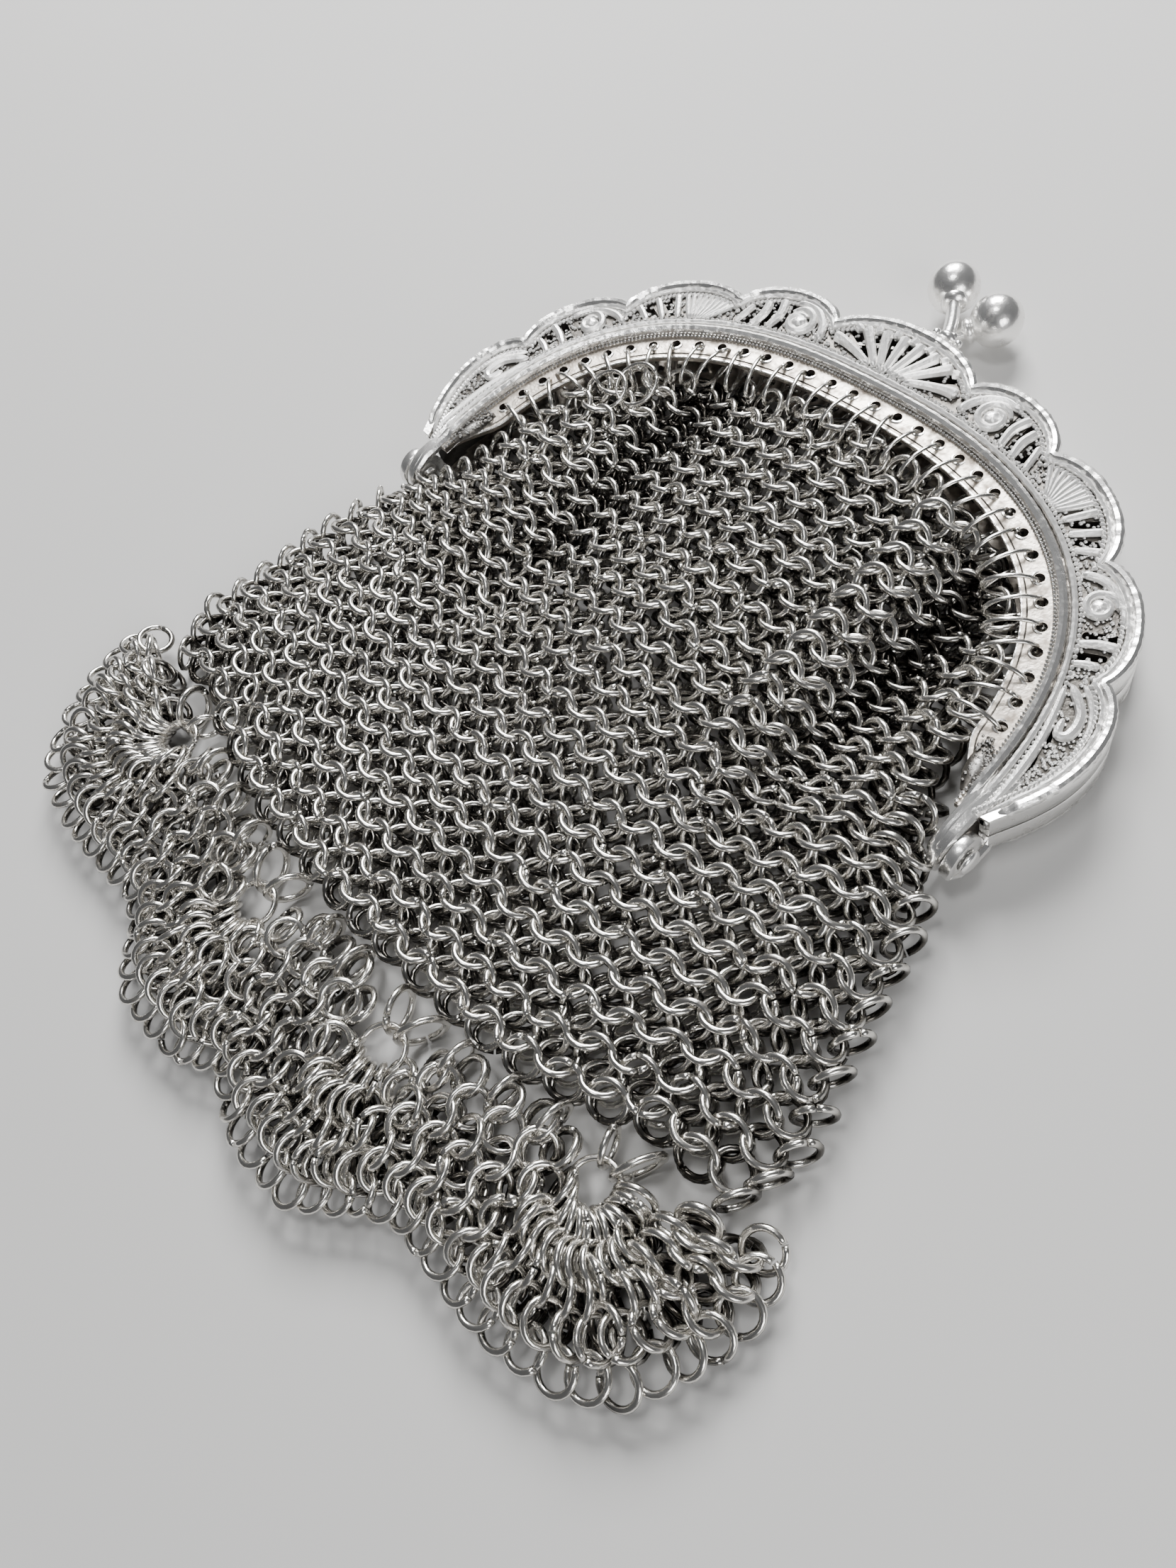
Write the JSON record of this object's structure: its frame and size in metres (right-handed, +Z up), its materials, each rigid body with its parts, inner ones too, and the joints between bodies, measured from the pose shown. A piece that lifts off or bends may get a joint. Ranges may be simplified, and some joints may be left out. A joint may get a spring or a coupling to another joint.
{
  "type": "metal mesh purse",
  "caption": "Small chain mesh coin purse with a pierced, lobed arch frame, kiss clasp and scalloped ring hem, lying flat.",
  "frame": {"origin": "middle of the footprint, on the surface that the purse lies on", "axes": "+Y from the hem towards the clasp, +Z up from the surface, +X to the right seen with the clasp away from the viewer"},
  "size_m": [0.0824, 0.0946, 0.0058],
  "materials": {
    "cast_silver": "cast and lightly polished silver, frosty, with darker oxidised recesses",
    "ring_wire": "drawn nickel silver wire, satin and a little tarnished"
  },
  "bodies": {
    "root": {"jaw_front": "cast_silver", "jaw_back": "cast_silver", "clasp_knob_front": "cast_silver", "clasp_knob_back": "cast_silver", "hinge_pin_right": "cast_silver", "hinge_pin_left": "cast_silver", "mesh_pouch": "ring_wire", "mesh_hem": "ring_wire", "star_ring_1": "ring_wire", "star_ring_2": "ring_wire", "star_ring_3": "ring_wire", "star_ring_4": "ring_wire", "star_link_1": "ring_wire", "star_link_2": "ring_wire", "star_link_3": "ring_wire", "star_link_4": "ring_wire", "star_link_5": "ring_wire", "star_link_6": "ring_wire", "star_link_7": "ring_wire", "star_link_8": "ring_wire", "edge_link_1": "ring_wire", "edge_link_2": "ring_wire", "edge_link_3": "ring_wire", "edge_link_4": "ring_wire", "edge_link_5": "ring_wire", "edge_link_6": "ring_wire", "edge_link_7": "ring_wire", "edge_link_8": "ring_wire"}
  },
  "joints": []
}
